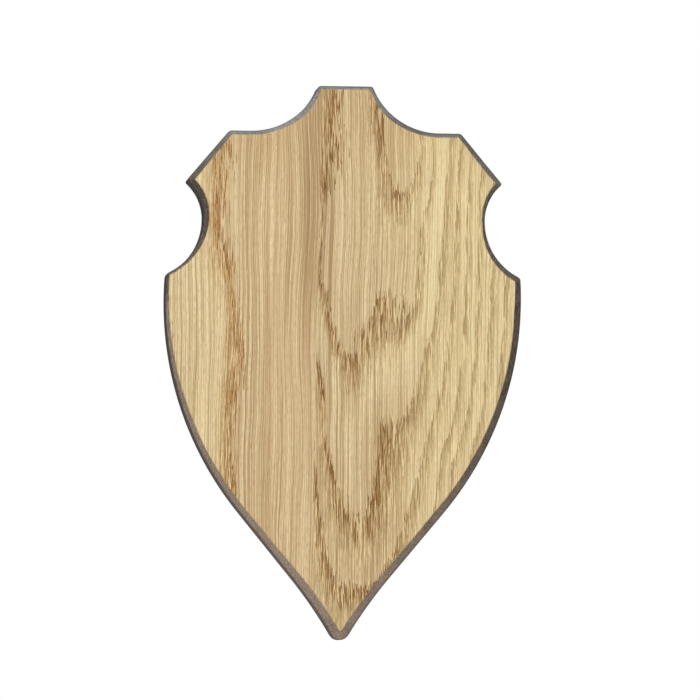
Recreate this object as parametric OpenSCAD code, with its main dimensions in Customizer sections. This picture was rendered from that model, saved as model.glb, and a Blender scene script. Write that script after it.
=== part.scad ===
// Shield-shaped wall plaque of edge-glued oak, with a ring hanger and felt discs on its back.
// The origin is where the wall hook carries the ring, in the plane of the wall.
// +Z is up, the front faces -Y, and X runs to the right as seen from the front.

/* [Board] */
// Height of the shield from the neck to the tip
board_h = 210; // [208:1:214]
// Thickness of the oak
board_t = 18; // [15:0.5:24]
// Width and depth of the bevel round the front edge
bevel = 2; // [1:0.25:2.5]
// How far the glue joint lies left of the centre line, at the height of the hook
joint_offset = 9; // [7:0.5:14]
// How far the glue joint leans from upright, in degrees
joint_lean = 0.8; // [0:0.2:1]

/* [Neck and shoulders] */
// Width of the flat top of the neck
neck_w = 20.6; // [16:0.2:24]
// Drop from the top of the neck to the shoulder
shoulder_drop = 17.4; // [15:0.2:18]
// Radius of the hollow between neck and shoulder
shoulder_r = 27.4; // [25:0.2:30]
// Width across the outer corners of the shoulders
shoulder_w = 88; // [84:1:92]
// Width across the ears
ear_w = 120.6; // [118:0.2:122]
// Depth of the ears below the top
ear_drop = 36.8; // [35.5:0.1:37]

/* [Side notches] */
// Width across the deepest points of the notches
waist_w = 106.8; // [104:0.2:108]
// Depth of the waist below the top
waist_drop = 50.5; // [50:0.1:51]
// Radius of the notch above the waist
notch_upper_r = 18.2; // [17:0.1:19]
// Radius of the notch below the waist
notch_lower_r = 23.6; // [23:0.1:24]

/* [Belly and tip] */
// Greatest width of the belly
belly_w = 135.2; // [134:0.2:137]
// Depth of the widest point below the top
belly_drop = 81.3; // [80:0.1:82]
// Radius of each side of the belly
belly_r = 126.4; // [125:0.1:128]
// Angle through which each side of the belly bends, in degrees
belly_turn = 39.4; // [39:0.1:40]
// Length of the straight stretch below the belly
flank = 32.6; // [28:0.2:34]
// Radius of the rounded tip
tip_r = 3.6; // [3:0.1:4]

/* [Hanger] */
// Depth of the wall hook below the top of the shield
hook_drop = 20; // [18:1:24]
// Thickness of the strap's steel
strap_t = 0.7; // [0.5:0.05:0.8]
// Width of the strap
strap_w = 9; // [8:0.5:10]
// Thickness of the ring's wire
wire_d = 1.8; // [1.6:0.1:2]
// Width of the ring's eye
eye_w = 12; // [11.5:0.5:14]
// Height of the ring's eye, from the bar's axis
eye_h = 17.5; // [17:0.5:20]
// Depth of the screw below the bar's axis
screw_drop = 6.8; // [6.6:0.1:7.2]
// Width of the screw's head
screw_head_d = 5.8; // [5:0.2:6]
// Length of the screw under its head
screw_l = 12; // [8:1:14]

/* [Felt discs] */
// Width of each disc
felt_d = 12; // [8:1:14]
// Thickness of each disc
felt_t = 3.5; // [3.4:0.1:4]
// Distance from the centre line to the upper discs
felt_x = 40; // [34:1:42]
// Depth of the upper discs below the top
felt_upper_drop = 29; // [28:1:32]
// Depth of the lower disc below the top
felt_lower_drop = 180; // [160:1:182]

/* [Hidden] */

$fn = 96;
eps = 0.02;

// Points of the right half of the outline, as [distance from the centre line, height].
function down(d) = hook_drop - d;
top_z = down(0);
tip_z = down(board_h);
hollow_c = [neck_w / 2 + sqrt(pow(shoulder_r, 2) - pow(shoulder_r - shoulder_drop, 2)),
    down(shoulder_drop) + shoulder_r];
shoulder_p = [shoulder_w / 2, down(shoulder_drop)];
ear_p = [ear_w / 2, down(ear_drop)];
notch_upper_c = [waist_w / 2 + notch_upper_r, down(waist_drop)];
notch_lower_c = [waist_w / 2 + notch_lower_r, down(waist_drop)];
belly_c = [belly_w / 2 - belly_r, down(belly_drop)];
belly_n = [cos(belly_turn), -sin(belly_turn)];
belly_t = [-sin(belly_turn), -cos(belly_turn)];
flank_start = belly_c + belly_r * belly_n;
flank_end = flank_start + flank * belly_t;

// The hollow above the tip touches the flank and the rounded tip.
tip_c = [0, tip_z + tip_r];
tip_to_flank = flank_end - tip_c;
ogee_r = (pow(tip_r, 2) - tip_to_flank * tip_to_flank) / (2 * (belly_n * tip_to_flank - tip_r));
ogee_c = flank_end + ogee_r * belly_n;
tip_p = tip_c + tip_r * (ogee_c - tip_c) / norm(ogee_c - tip_c);

// Between the waist and the widest point, where the upper and lower outlines meet.
seam_z = down(waist_drop + 10);
// How far the stretches of the outline overlap each other.
lap = 2;
// The diagonal edge of the shoulder is drawn on past the ear, and the notch cuts it off.
ear_past = 0.7;
ear_over = ear_p + ear_past * (ear_p - shoulder_p);
// How far a cutting shape reaches past the surface it cuts.
past = 1;

// The hanger lies on the back of the board, inside the thickness of the felt.
back_y = -felt_t;
bore_r = wire_d / 2 + 0.05;
knuckle_r = bore_r + strap_t;
axis_y = back_y + knuckle_r;
axis_z = -eye_h;
screw_z = axis_z - screw_drop;
screw_r = 1.5;
screw_point = 3;
screw_point_r = 0.2;
head_rim = 0.7;
head_h = 1.7;
strap_hole_r = screw_r + 0.2;
ring_r = eye_w / 2 + wire_d / 2;
ring_corner_r = 2.2;
ring_drop = eye_h + wire_d / 2;

oak = "#d2b183";
steel = "#b9bcc0";
felt = "#5a4a38";

// Right half of the board, drawn a little past the centre line, in stretches that overlap.
module half_board() {
    linear_extrude(board_t) difference() {
        polygon([[-lap, top_z], [hollow_c.x, top_z], [hollow_c.x, shoulder_p.y], shoulder_p,
            ear_over, [ear_over.x, seam_z], [-lap, seam_z]]);
        translate(hollow_c) circle(r = shoulder_r);
        notches();
    }
    linear_extrude(board_t) difference() {
        intersection() {
            translate(belly_c) circle(r = belly_r, $fn = 360);
            translate([-lap, flank_start.y]) square([belly_w, seam_z + lap - flank_start.y]);
        }
        notches();
    }
    linear_extrude(board_t) difference() {
        polygon([[-lap, seam_z], flank_start, flank_end, tip_p, [-lap, tip_p.y]]);
        translate(ogee_c) circle(r = ogee_r, $fn = 720);
    }
    linear_extrude(board_t) translate(tip_c) circle(r = tip_r);
}

module notches() {
    translate(notch_upper_c) circle(r = notch_upper_r);
    intersection() {
        translate(notch_lower_c) circle(r = notch_lower_r);
        translate([0, notch_lower_c.y - notch_lower_r]) square([belly_w, notch_lower_r]);
    }
}

// Cuts the bevel off a hollow edge: a cone round the arc's centre.
module hollow_bevel(centre, r) {
    translate([centre.x, centre.y, board_t - bevel])
        cylinder(h = bevel + eps, r1 = r, r2 = r + bevel + eps, $fn = 180);
}

// Cuts the bevel off a bulging edge: a ring with a cone-shaped hole.
module bulging_bevel(centre, r) {
    translate([centre.x, centre.y, board_t - bevel]) difference() {
        cylinder(h = bevel + eps, r = r + bevel + past, $fn = 180);
        translate([0, 0, -eps])
            cylinder(h = bevel + 3 * eps, r1 = r + eps, r2 = r - bevel - 2 * eps, $fn = 180);
    }
}

// Cuts the bevel off a straight edge that runs clockwise from p to q, and on past its two ends.
module straight_bevel(p, q, before = 0, after = 0) {
    run = norm(q - p);
    translate([p.x, p.y, 0])
        rotate([0, 0, atan2(q.y - p.y, q.x - p.x)])
            translate([-before, 0, 0]) rotate([90, 0, 90])
                linear_extrude(run + before + after)
                    polygon([[-bevel - eps, board_t + eps], [past, board_t - bevel - past],
                        [past, board_t + eps]]);
}

module half_bevels() {
    straight_bevel([0, top_z], [neck_w / 2, top_z], past, bevel);
    hollow_bevel(hollow_c, shoulder_r);
    straight_bevel([hollow_c.x, shoulder_p.y], shoulder_p, 0, 2 * bevel);
    straight_bevel(shoulder_p, ear_p, 2 * bevel, 4 * bevel);
    hollow_bevel(notch_upper_c, notch_upper_r);
    intersection() {
        hollow_bevel(notch_lower_c, notch_lower_r);
        translate([0, notch_lower_c.y - belly_w, 0]) cube([belly_w, belly_w, board_t + past]);
    }
    intersection() {
        bulging_bevel(belly_c, belly_r);
        translate([0, flank_start.y, 0]) cube([belly_w, seam_z - flank_start.y, board_t + past]);
    }
    straight_bevel(flank_start, flank_end, bevel + past, 0);
    hollow_bevel(ogee_c, ogee_r);
    intersection() {
        bulging_bevel(tip_c, tip_r);
        translate([-tip_r, tip_z - past, 0]) cube([3 * tip_r, tip_p.y - tip_z + past, board_t + past]);
    }
}

// The whole board in one piece, lying on its back, before it is split along the glue joint.
module board() {
    difference() {
        union() {
            half_board();
            mirror([1, 0, 0]) half_board();
        }
        half_bevels();
        mirror([1, 0, 0]) half_bevels();
    }
}

// Space on the right of the glue joint.
module right_of_joint() {
    translate([-joint_offset, 0, -past]) rotate([0, 0, -joint_lean])
        translate([0, -board_h, 0]) cube([belly_w, 2 * board_h, board_t + 2 * past]);
}

module upright() {
    translate([0, back_y, 0]) rotate([90, 0, 0]) children();
}

module stave_left() {
    color(oak) upright() difference() {
        board();
        right_of_joint();
    }
}

module stave_right() {
    color(oak) difference() {
        upright() intersection() {
            board();
            right_of_joint();
        }
        screw_shank();
    }
}

// Side view of the strap: [distance out from the wood, height above the bar's axis].
module strap_profile() {
    double = 2 * strap_t;
    // Depth below the bar at which the outer leaf lies flat on the inner one.
    fold = 3.4;
    tail = screw_drop + strap_w / 2;
    // The outer leaf leaves the knuckle along a tangent.
    reach = norm([double - knuckle_r, fold]);
    lean = atan2(knuckle_r - double, fold) + asin(knuckle_r / reach);
    difference() {
        union() {
            translate([knuckle_r, 0]) circle(r = knuckle_r);
            translate([0, -tail]) square([strap_t, tail]);
            polygon([[0, 0], [0, -tail], [double, -tail], [double, -fold],
                [knuckle_r + knuckle_r * cos(lean), -knuckle_r * sin(lean)], [knuckle_r, 0]]);
        }
        translate([knuckle_r, 0]) circle(r = bore_r);
    }
}

module hanger_strap() {
    color(steel) difference() {
        intersection() {
            translate([-strap_w / 2, back_y, axis_z]) rotate([90, 0, 90])
                linear_extrude(strap_w) strap_profile();
            translate([0, back_y + 2 * knuckle_r + past, 0]) rotate([90, 0, 0])
                linear_extrude(2 * (knuckle_r + past)) {
                    translate([0, screw_z]) circle(d = strap_w);
                    translate([-strap_w / 2, screw_z]) square([strap_w, screw_drop + 2 * knuckle_r]);
                }
        }
        translate([0, back_y - past, screw_z]) rotate([-90, 0, 0])
            cylinder(h = 2 * (strap_t + past), r = strap_hole_r);
    }
}

module arc_of_wire(r, turn) {
    rotate_extrude(angle = turn) translate([r, 0]) circle(d = wire_d, $fn = 48);
}

// The ring as it hangs: its bar in the strap's knuckle, its bow below.
module hanger_ring() {
    half_bar = ring_r - ring_corner_r;
    side = ring_drop - ring_r - ring_corner_r;
    color(steel) translate([0, axis_y, axis_z]) {
        translate([-half_bar, 0, 0]) rotate([0, 90, 0]) cylinder(h = 2 * half_bar, d = wire_d, $fn = 48);
        rotate([90, 0, 0]) {
            translate([half_bar, -ring_corner_r, 0]) arc_of_wire(ring_corner_r, 90);
            translate([-half_bar, -ring_corner_r, 0]) rotate([0, 0, 90]) arc_of_wire(ring_corner_r, 90);
            translate([0, ring_r - ring_drop, 0]) rotate([0, 0, 180]) arc_of_wire(ring_r, 180);
        }
        for (x = [-ring_r, ring_r])
            translate([x, 0, -ring_corner_r - side]) cylinder(h = side, d = wire_d, $fn = 48);
    }
}

// The screw's shank and point, from under its head into the wood.
module screw_shank() {
    translate([0, back_y + 2 * strap_t, screw_z]) rotate([90, 0, 0]) {
        cylinder(h = screw_l - screw_point, r = screw_r);
        translate([0, 0, screw_l - screw_point])
            cylinder(h = screw_point, r1 = screw_r, r2 = screw_point_r);
    }
}

module screw_head() {
    head_r = screw_head_d / 2;
    dome = head_h - head_rim;
    dome_r = (pow(head_r, 2) + pow(dome, 2)) / (2 * dome);
    slot_w = 0.8;
    slot_l = 3;
    slot_deep = 1;
    translate([0, back_y + 2 * strap_t, screw_z]) rotate([-90, 0, 0]) difference() {
        union() {
            cylinder(h = head_rim, r = head_r);
            intersection() {
                translate([0, 0, head_h - dome_r]) sphere(r = dome_r, $fn = 120);
                translate([0, 0, head_rim]) cylinder(h = dome + past, r = head_r);
            }
        }
        for (turn = [0, 90])
            rotate([0, 0, turn]) translate([-slot_l / 2, -slot_w / 2, head_h - slot_deep])
                cube([slot_l, slot_w, slot_deep + past]);
    }
}

module hanger_screw() {
    color(steel) {
        screw_shank();
        screw_head();
    }
}

module felt_disc(x, drop) {
    color(felt) translate([x, back_y, down(drop)]) rotate([-90, 0, 0])
        cylinder(h = felt_t, d = felt_d);
}

stave_left();
stave_right();
hanger_strap();
hanger_ring();
hanger_screw();
felt_disc(-felt_x, felt_upper_drop);  // felt_disc_left
felt_disc(felt_x, felt_upper_drop);  // felt_disc_right
felt_disc(0, felt_lower_drop);  // felt_disc_bottom
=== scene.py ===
"""An oak trophy shield: two edge-glued staves with a stained bevel, and a hanger and felt discs behind.

Lengths are in millimetres in the part's frame until they go into a mesh: X to the right, Z up, the front
faces -Y, and the wall is the plane Y = 0.
"""
import math

import bmesh
import bpy
import numpy as np
from mathutils import Matrix, Vector, geometry, kdtree, noise


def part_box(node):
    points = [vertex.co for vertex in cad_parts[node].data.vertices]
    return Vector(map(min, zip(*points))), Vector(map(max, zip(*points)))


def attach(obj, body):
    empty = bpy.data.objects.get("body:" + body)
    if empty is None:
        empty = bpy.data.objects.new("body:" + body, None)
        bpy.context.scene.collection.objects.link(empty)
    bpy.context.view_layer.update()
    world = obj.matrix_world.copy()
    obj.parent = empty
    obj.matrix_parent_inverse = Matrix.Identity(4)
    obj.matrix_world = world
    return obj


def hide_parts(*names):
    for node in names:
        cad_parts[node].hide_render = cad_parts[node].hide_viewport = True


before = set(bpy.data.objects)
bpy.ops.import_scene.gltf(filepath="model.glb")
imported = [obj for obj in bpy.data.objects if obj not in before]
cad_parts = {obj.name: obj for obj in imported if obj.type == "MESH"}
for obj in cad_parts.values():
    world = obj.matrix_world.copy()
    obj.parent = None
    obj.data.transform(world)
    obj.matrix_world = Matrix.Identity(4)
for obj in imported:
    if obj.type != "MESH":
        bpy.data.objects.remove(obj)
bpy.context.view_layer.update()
MM = 0.001
BODY = "plaque"
RING_BODY = "ring"


def box_mm(node):
    """A CAD node's lowest and highest corners."""
    low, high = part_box(node)
    return Vector(low) / MM, Vector(high) / MM


BOARD_LOW = Vector(map(min, *(box_mm(n)[0] for n in ("stave_left", "stave_right"))))
BOARD_HIGH = Vector(map(max, *(box_mm(n)[1] for n in ("stave_left", "stave_right"))))
TOP, TIP = BOARD_HIGH.z, BOARD_LOW.z
FRONT, BACK = BOARD_LOW.y, BOARD_HIGH.y

# ---- outline of the shield

STEP = 0.36  # spacing of the points along the outline
CORNER = 0.6  # how far a sharp corner is rubbed down
NECK_HALF = 10.3
SHOULDER_DROP, SHOULDER_R, SHOULDER_HALF = 17.4, 27.4, 44.0
EAR = (60.3, 36.8)  # distance from the centre line, and drop below the top
WAIST_HALF, WAIST_DROP, NOTCH_UPPER_R, NOTCH_LOWER_R = 53.4, 50.5, 18.2, 23.6
BELLY_HALF, BELLY_DROP, BELLY_R, BELLY_TURN = 67.6, 81.3, 126.4, 39.4
FLANK, TIP_R = 32.6, 3.6
JOINT_X, JOINT_LEAN = -9.0, math.tan(math.radians(0.8))


def polar(centre, r, degrees):
    """The point at a distance and bearing from a centre."""
    a = math.radians(degrees)
    return np.array([centre[0] + r * math.cos(a), centre[1] + r * math.sin(a)])


def bearing(centre, point):
    """Bearing of a point from a centre, in degrees."""
    return math.degrees(math.atan2(point[1] - centre[1], point[0] - centre[0]))


def arc(centre, r, start, end):
    """Points along an arc between two bearings in degrees."""
    n = max(3, int(abs(math.radians(end - start)) * r / (STEP / 3)))
    return [polar(centre, r, start + (end - start) * i / n) for i in range(n + 1)]


def where_circles_meet(c1, r1, c2, r2):
    """The lower of the two points that circles 1 and 2 share."""
    c1, c2 = np.array(c1), np.array(c2)
    apart = np.linalg.norm(c2 - c1)
    along = (r1 ** 2 - r2 ** 2 + apart ** 2) / (2 * apart)
    side = math.sqrt(r1 ** 2 - along ** 2)
    u = (c2 - c1) / apart
    both = [c1 + along * u + s * side * np.array([-u[1], u[0]]) for s in (-1, 1)]
    return min(both, key=lambda p: p[1])


def half_outline():
    """Right half of the outline, from the top of the neck to the tip, as (x, z)."""
    neck = np.array([NECK_HALF, TOP])
    reach = math.sqrt(SHOULDER_R ** 2 - (SHOULDER_R - SHOULDER_DROP) ** 2)
    hollow = (NECK_HALF + reach, TOP - SHOULDER_DROP + SHOULDER_R)
    shoulder = np.array([SHOULDER_HALF, TOP - SHOULDER_DROP])
    ear = np.array([EAR[0], TOP - EAR[1]])
    upper = (WAIST_HALF + NOTCH_UPPER_R, TOP - WAIST_DROP)
    lower = (WAIST_HALF + NOTCH_LOWER_R, TOP - WAIST_DROP)
    # The shoulder's edge runs on past the ear until it meets the notch.
    along = (ear - shoulder) / np.linalg.norm(ear - shoulder)
    to_notch = np.array(upper) - shoulder
    middle = to_notch @ along
    ear = shoulder + (middle - math.sqrt(NOTCH_UPPER_R ** 2 - (to_notch @ to_notch - middle ** 2))) * along
    belly = (BELLY_HALF - BELLY_R, TOP - BELLY_DROP)
    corner = where_circles_meet(lower, NOTCH_LOWER_R, belly, BELLY_R)
    flank = polar(belly, BELLY_R, -BELLY_TURN)
    out = polar((0, 0), 1, -BELLY_TURN)
    flank_end = flank + FLANK * np.array([out[1], -out[0]])
    tip = np.array([0, TIP + TIP_R])
    rise = flank_end - tip
    ogee_r = (TIP_R ** 2 - rise @ rise) / (2 * (out @ rise - TIP_R))
    ogee = flank_end + ogee_r * out
    touch = bearing(tip, ogee)
    start = bearing(hollow, neck)
    points = [np.array([0, TOP]), neck]
    points += arc(hollow, SHOULDER_R, start % 360, 270)
    points += [shoulder, ear]
    points += arc(upper, NOTCH_UPPER_R, bearing(upper, ear) % 360, 180)
    points += arc(lower, NOTCH_LOWER_R, 180, bearing(lower, corner) % 360)
    points += arc(belly, BELLY_R, bearing(belly, corner), -BELLY_TURN)
    points += arc(ogee, ogee_r, bearing(ogee, flank_end) % 360, bearing(ogee, tip) % 360)
    points += arc(tip, TIP_R, touch, -90)
    return np.array(points)


def resample(loop, step):
    """Evenly spaced points on a closed line."""
    closed = np.vstack([loop, loop[:1]])
    run = np.r_[0, np.cumsum(np.linalg.norm(np.diff(closed, axis=0), axis=1))]
    at = np.arange(round(run[-1] / step)) * run[-1] / round(run[-1] / step)
    return np.c_[np.interp(at, run, closed[:, 0]), np.interp(at, run, closed[:, 1])]


def rub_corners(loop, sigma):
    """A closed line with its corners worn round: a moving average along it."""
    reach = int(4 * sigma / STEP)
    weights = [math.exp(-0.5 * (i * STEP / sigma) ** 2) for i in range(-reach, reach + 1)]
    moved = sum(w * np.roll(loop, i, axis=0) for w, i in zip(weights, range(-reach, reach + 1)))
    return moved / sum(weights)


def joint_x(z):
    """Where the glue joint lies at a height."""
    return JOINT_X + z * JOINT_LEAN


def make_outline():
    """The whole outline clockwise from the top, with a point where the glue joint crosses it."""
    right = half_outline()
    left = right[::-1] * [-1, 1]
    loop = rub_corners(resample(np.vstack([right, left[1:-1]]), STEP), CORNER)
    side = loop[:, 0] - joint_x(loop[:, 1])
    points, crossings = [], []
    for i, p in enumerate(loop):
        q, a, b = loop[(i + 1) % len(loop)], side[i], side[(i + 1) % len(loop)]
        points.append(p)
        if a * b < 0:
            t = min(max(a / (a - b), 0.0), 1.0)
            crossings.append(len(points))
            points.append(p + t * (q - p))
    return np.array(points), crossings


OUTLINE, crossings = make_outline()
JOINT_TOP, JOINT_BOTTOM = sorted(crossings, key=lambda i: -OUTLINE[i][1])
AHEAD = np.roll(OUTLINE, -1, axis=0) - OUTLINE
TANGENT = np.roll(OUTLINE, -1, axis=0) - np.roll(OUTLINE, 1, axis=0)
TANGENT /= np.linalg.norm(TANGENT, axis=1)[:, None]
INWARD = np.c_[TANGENT[:, 1], -TANGENT[:, 0]]
TREE = kdtree.KDTree(len(OUTLINE))
for index, (px, pz) in enumerate(OUTLINE):
    TREE.insert((px, pz, 0), index)
TREE.balance()

# The bevel was sanded by hand, so its width wanders: [drop below the top, width] down each side.
BEVEL_LEFT = [(0, 1.3), (9, 2.0), (17, 1.6), (30, 2.1), (42, 2.2), (55, 1.9), (70, 1.0), (85, 1.3),
              (105, 1.5), (125, 1.9), (160, 2.1), (190, 2.7), (210, 3.2)]
BEVEL_RIGHT = [(0, 1.3), (9, 2.0), (17, 1.6), (30, 2.1), (40, 1.8), (52, 0.95), (68, 2.0), (85, 2.7),
               (105, 2.6), (125, 2.7), (160, 2.9), (190, 2.9), (210, 3.2)]
BLEND_WIDTH = 12  # across the middle, one side's values pass into the other's over this width


def side_values(x, drop, left, right):
    """Values read off two tables by drop below the top, the left side's and the right side's."""
    left, right = (np.interp(drop, *zip(*side)) for side in (left, right))
    blend = np.clip(x / BLEND_WIDTH + 0.5, 0, 1)
    return left + (right - left) * blend


def bevel_width(points):
    """Width of the bevel at each (x, z) of the outline."""
    wander = [0.10 * noise.noise(Vector((x / 11, z / 11, 3))) for x, z in points]
    return side_values(points[:, 0], TOP - points[:, 1], BEVEL_LEFT, BEVEL_RIGHT) + wander


WIDTH = bevel_width(OUTLINE)

# The stain was wiped on unevenly, and on top of that the top, the bottom and the left flank of the bevel
# are painted paler as painted light, the right flank darker as painted shade: [drop below the top, 0 for
# dark to 1 for pale] down each side.
STAIN_WEAR_AND_PAINTED_LIGHT_LEFT = [(0, 0.4), (3, 0.75), (11, 0.7), (18, 0.45), (28, 0.35), (38, 0.0), (72, 0.0), (84, 0.7),
             (120, 0.75), (150, 0.8), (180, 1.0), (210, 0.7)]
STAIN_WEAR_AND_PAINTED_LIGHT_RIGHT = [(0, 0.4), (3, 0.75), (9, 0.65), (13, 0.3), (38, 0.3), (48, 0.35), (58, 0.05), (110, 0.05),
              (140, 0.3), (165, 0.45), (180, 0.6), (210, 0.7)]


def stain_wear_and_painted_light(verts):
    """How pale the stain is at each place in mm, from uneven wiping and wear and from painted light on the
    top, bottom and left flank of the bevel.
    """
    cloudy = [0.2 * noise.noise(Vector(v / 7)) + 0.12 * noise.noise(Vector(v / 1.6)) for v in verts]
    return side_values(verts[:, 0], TOP - verts[:, 2], STAIN_WEAR_AND_PAINTED_LIGHT_LEFT, STAIN_WEAR_AND_PAINTED_LIGHT_RIGHT) + cloudy


def edge_distance(points):
    """How far each (x, z) lies inside the outline, and which outline point is nearest."""
    near = np.array([TREE.find((x, z, 0))[1] for x, z in points])
    best = np.full(len(points), 1e9)
    for first in (near - 1, near):
        base, along = OUTLINE[first], AHEAD[first]
        t = np.clip(((points - base) * along).sum(1) / np.maximum((along ** 2).sum(1), 1e-12), 0, 1)
        best = np.minimum(best, np.linalg.norm(points - base - t[:, None] * along, axis=1))
    return best, near


# ---- figure of the oak

# Growth rings as they meet the front: ring number, then points of its line as (x, drop below the top).
RINGS_RIGHT = {
    1: [(12, 6), (14, 20), (17, 33), (22, 41), (27, 36), (28, 18)],
    1.4: [(8, 6), (10, 20), (12.5, 34)],
    2: [(-3, 5), (-6.5, 30), (-10, 55), (-9, 72), (-6.5, 86), (-3.5, 97), (0, 102), (4, 101), (8, 96),
        (12, 88), (17, 82), (20.5, 84), (24.5, 90), (28, 80), (29.5, 68), (30, 50), (32, 15)],
    3: [(-10, 105), (-7, 130), (-0.5, 158), (3, 164), (9, 164), (12.5, 157), (13.5, 147), (14, 138),
        (15, 131), (18, 130), (21.5, 129), (25.5, 123), (28.5, 114), (31, 102), (35, 85), (38, 50),
        (41, 15)],
    4: [(-10.8, 125), (-10.4, 140), (-9, 158), (-6, 177), (-2, 189), (3, 191), (10, 191), (19, 179),
        (24, 166), (29, 149), (33, 131), (39, 105), (42, 60), (44, 22)],
    5: [(36, 154), (41, 130), (46, 85), (47, 40)],
    6: [(42, 142), (50, 100), (51, 40)],
}
RINGS_LEFT = {
    1.75: [(-12, 0), (-14, 90), (-15, 170), (-25, 20), (-25, 130), (-26, 170)],
    1.82: [(-38, 15), (-37, 60), (-34, 95), (-35, 130), (-37, 160)],
    2: [(-46, 10), (-46.5, 25), (-47.5, 45), (-48, 58), (-44.5, 68), (-42, 81), (-40.2, 95),
        (-39.8, 106), (-42, 116), (-43, 135), (-43, 155)],
    2.45: [(-56, 25), (-56, 60), (-48, 90), (-49, 125)],
    2.7: [(-61, 70), (-58, 100), (-55, 125)],
}
ALONG = 0.45  # lengths along the grain count this much against lengths across it
GIVE = 1.0  # how far the rings' lines may miss their points, as the spline's smoothing
DIVE = (0.3, 1.5)  # slope of the rings with depth: sideways, and down the board
RING_DEPTH = 7.0  # depth behind the front in which the ring number grows by one
BATCH = 8192  # places worked out at a time


def ring_field(rings):
    """A smooth field that has each ring's number on that ring's line: a thin-plate spline."""
    knots = np.array([(x, drop * ALONG) for line in rings.values() for x, drop in line], float)
    value = np.array([n for n, line in rings.items() for _ in line], float)

    def bend(points):
        """How much each knot bends the field at each point, before its weight."""
        r2 = ((points[:, None, :] - knots[None, :, :]) ** 2).sum(2)
        return 0.5 * r2 * np.log(np.maximum(r2, 1e-9))

    n = len(knots)
    flat = np.c_[np.ones(n), knots]
    system = np.block([[bend(knots) + GIVE * np.eye(n), flat], [flat.T, np.zeros((3, 3))]])
    weights = np.linalg.solve(system, np.r_[value, np.zeros(3)])

    def field(x, z, depth):
        """Ring number at a place, depth being how far it lies behind the front face."""
        points = np.c_[x + DIVE[0] * depth, (TOP - z + DIVE[1] * depth) * ALONG]
        plane = np.c_[np.ones(len(points)), points] @ weights[n:]
        return bend(points) @ weights[:n] + plane + depth / RING_DEPTH

    return field


FIGURE = {"stave_left": ring_field(RINGS_LEFT), "stave_right": ring_field(RINGS_RIGHT)}
# Share of a ring's width over which its pores thin out, at these ring numbers.
PORES = {1.85: 0.4, 1.95: 0.22, 2.85: 0.22, 2.95: 0.52, 3.85: 0.52, 3.95: 0.42}
RAGGED = 0.2  # how unevenly the pores start, in ring numbers
STRIP_OFFSET, STRIP_WIDTH = 3.5, 4.0  # the brown strip's middle lies this far left of the joint
STRIP_SIDE = {"stave_left": 1.0, "stave_right": -1.6}  # it is narrower on the right of the joint


def grain_noise(points, across, along, seed=0):
    """Noise drawn out along the grain, about -1 to 1, at places in mm."""
    scaled = points / [across, across, along] + [0, seed * 7.3, 0]
    return np.array([noise.noise(Vector(p)) for p in scaled])


def grain(name, points):
    """How open the pores are (0 to 1), the ring number and the brown strip at places in a stave."""
    x, y, z = points.T
    parts = (slice(i, i + BATCH) for i in range(0, len(x), BATCH))
    exact = np.concatenate([FIGURE[name](x[part], z[part], y[part] - FRONT) for part in parts])
    # The pores start at the ring's line, some columns of them sooner than others.
    smooth = exact + RAGGED * (0.25 + 0.2 * grain_noise(points, 6, 22, 3))
    ring = smooth + RAGGED * (0.4 * grain_noise(points, 0.6, 14, 1) + 0.2 * grain_noise(points, 0.4, 6, 2))
    pores = np.interp(smooth, list(PORES), list(PORES.values()))
    early = np.exp(-((ring - np.floor(ring)) / pores) ** 1.5)
    column = np.clip(0.55 + 2.2 * grain_noise(points, 0.6, 9, 4), 0.12, 1)
    broken = np.clip(0.95 + 1.5 * grain_noise(points, 0.5, 3, 5), 0.3, 1)
    streak = np.clip(1.25 * early * column * broken, 0, 1)
    # A browner strip runs along the joint and fades out half way down.
    off = (x - joint_x(z)) * STRIP_SIDE[name]
    brown = np.exp(-((off + STRIP_OFFSET) / STRIP_WIDTH) ** 2) * np.clip((z - TIP) / 90 - 0.9, 0.1, 1)
    return streak, smooth, brown


# ---- the staves' meshes

GRID = (0.24, 0.8)  # spacing of the front's points across and along the grain
BACK_GRID = (1.6, 4.0)
ROW_TRUE = 0.02  # how far a row's point may be off the row's distance inside
RELIEF = 0.07  # depth of a pore streak
SOFT = 0.16  # how far the bevel's inner edge is rubbed over
FLAT_LIFT = 0.006  # keeps the flat inside the bevel level, where the rubbing fades out
WALL_ROWS = 9
WALL_STAIN = 2.0  # the stain attribute is 1 on the bevel and this on the walls
PILOT = 1.5  # radius of the screw's hole
HOLE_CONE = 3.0  # length of the drill point at the hole's end
ROUND_OVER = (0.16, 0.14)  # how far the outermost edge is rubbed down, and over what width
STAIN_BLUR = 0.8  # width over which the stain ends at the bevel's inner edge
RIM_PAINTED_SHADE = 0.6  # painted shade on the outermost edge, standing for the shadowed wall beside it
RIM_LEFT, RIM_RIGHT = 0.3, 0.6  # how far that reaches inside on each side
BACK_EDGE = (0.3, 0.22)  # the same rubbing on the back's edge
CREEP, CREEP_BLUR = 0.5, 0.7  # how far the stain crept round onto the back
SHARP = math.radians(50)  # edges sharper than this stay crisp in the shading


def front_y(points):
    """Y of the bevelled front, without the pores, and the stain at each (x, z), with painted shade along
    the outermost edge.
    """
    inside, near = edge_distance(points)
    past = WIDTH[near] - inside
    sunk = 0.5 * (past + np.sqrt(past ** 2 + SOFT ** 2))
    sunk += ROUND_OVER[0] * np.exp(-inside / ROUND_OVER[1]) - FLAT_LIFT
    rim = np.where(points[:, 0] > 0, RIM_RIGHT, RIM_LEFT)
    # Painted shade: the outermost edge is made darker, reaching further in on the right.
    stain = np.clip(0.5 + past / STAIN_BLUR, 0, 1) + RIM_PAINTED_SHADE * np.exp(-inside / rim)
    return FRONT + np.clip(sunk, 0, None), stain


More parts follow.
